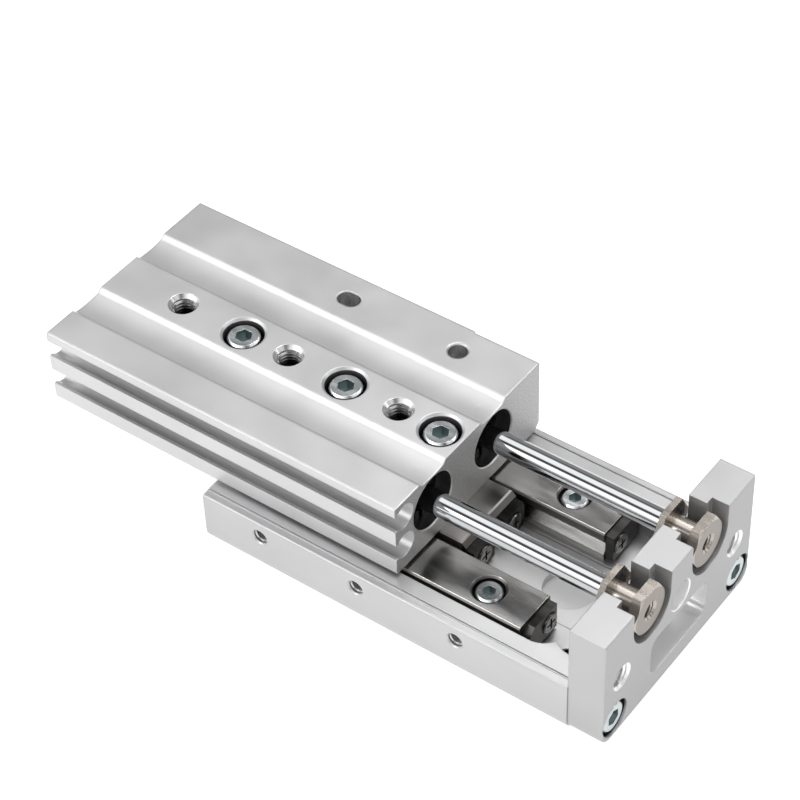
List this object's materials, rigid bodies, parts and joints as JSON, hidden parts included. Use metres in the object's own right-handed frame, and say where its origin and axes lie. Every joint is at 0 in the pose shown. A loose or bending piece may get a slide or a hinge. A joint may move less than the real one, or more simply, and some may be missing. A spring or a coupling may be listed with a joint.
{
  "type": "pneumatic slide table",
  "caption": "Compact pneumatic slide table: twin-bore cylinder body, crossed-roller guide, channel-shaped table and slotted end plate on two rods.",
  "frame": {"origin": "centre of the whole length and width on the table's outer face", "axes": "+X forward along the stroke towards the end plate, +Z from the table's outer face up to the body's mounting face, -Y the side with the sensor slots"},
  "size_m": [0.1692, 0.066, 0.0389],
  "materials": {
    "body_aluminium": "fine blasted, clear anodised",
    "table_aluminium": "clear anodised",
    "plate_aluminium": "clear anodised",
    "cover_metal": "turned",
    "piston_metal": "turned",
    "rod_chrome": "polished",
    "bush_nickel": "nickel plated",
    "guide_steel": "ground",
    "rail_steel": "ground",
    "stop_black": "blackened",
    "stop_screw_steel": "blackened",
    "screw_steel": "zinc plated",
    "set_screw_steel": "blackened",
    "ring_steel": "phosphated",
    "roller_steel": "ground",
    "cage_metal": "stamped",
    "seal_rubber": "moulded",
    "bumper_rubber": "moulded",
    "magnet_grey": "pressed",
    "wear_plastic": "moulded"
  },
  "bodies": {
    "cylinder": {"cylinder_body": "body_aluminium", "head_cap_near": "cover_metal", "head_cap_far": "cover_metal", "rod_cover_near": "cover_metal", "rod_cover_far": "cover_metal", "rod_seals": "seal_rubber", "cover_orings": "seal_rubber", "cap_orings": "seal_rubber", "cover_rings": "ring_steel", "cap_rings": "ring_steel", "front_bumpers": "bumper_rubber", "rear_bumpers": "bumper_rubber", "guide_block": "guide_steel", "guide_screws": "screw_steel", "guide_front_stops": "stop_black", "guide_rear_stops": "stop_black", "guide_stop_screws": "stop_screw_steel"},
    "slide": {"table": "table_aluminium", "end_plate": "plate_aluminium", "end_plate_screws": "screw_steel", "floating_bush_near": "bush_nickel", "floating_bush_far": "bush_nickel", "piston_rod_near": "rod_chrome", "piston_rod_far": "rod_chrome", "piston_near": "piston_metal", "piston_far": "piston_metal", "piston_magnets": "magnet_grey", "piston_seals": "seal_rubber", "wear_rings": "wear_plastic", "rail_near": "rail_steel", "rail_far": "rail_steel", "rail_screws_near": "screw_steel", "rail_screws_far": "screw_steel", "preload_screws": "set_screw_steel", "rail_front_stops": "stop_black", "rail_rear_stops": "stop_black", "rail_stop_screws": "stop_screw_steel"},
    "cage_near": {"roller_cage_near": "cage_metal", "rollers_near": "roller_steel"},
    "cage_far": {"roller_cage_far": "cage_metal", "rollers_far": "roller_steel"}
  },
  "joints": [
    {"name": "table_slide", "type": "slide", "parent": "cylinder", "child": "slide", "axis": [1, 0, 0], "range_m": [-0.05, 0]},
    {"name": "cage_near_slide", "type": "slide", "parent": "cylinder", "child": "cage_near", "axis": [1, 0, 0], "range_m": [-0.025, 0]},
    {"name": "cage_far_slide", "type": "slide", "parent": "cylinder", "child": "cage_far", "axis": [1, 0, 0], "range_m": [-0.025, 0]}
  ],
  "couplings": [
    {"joint": "cage_near_slide", "follows": "table_slide", "ratio": 0.5},
    {"joint": "cage_far_slide", "follows": "table_slide", "ratio": 0.5}
  ]
}
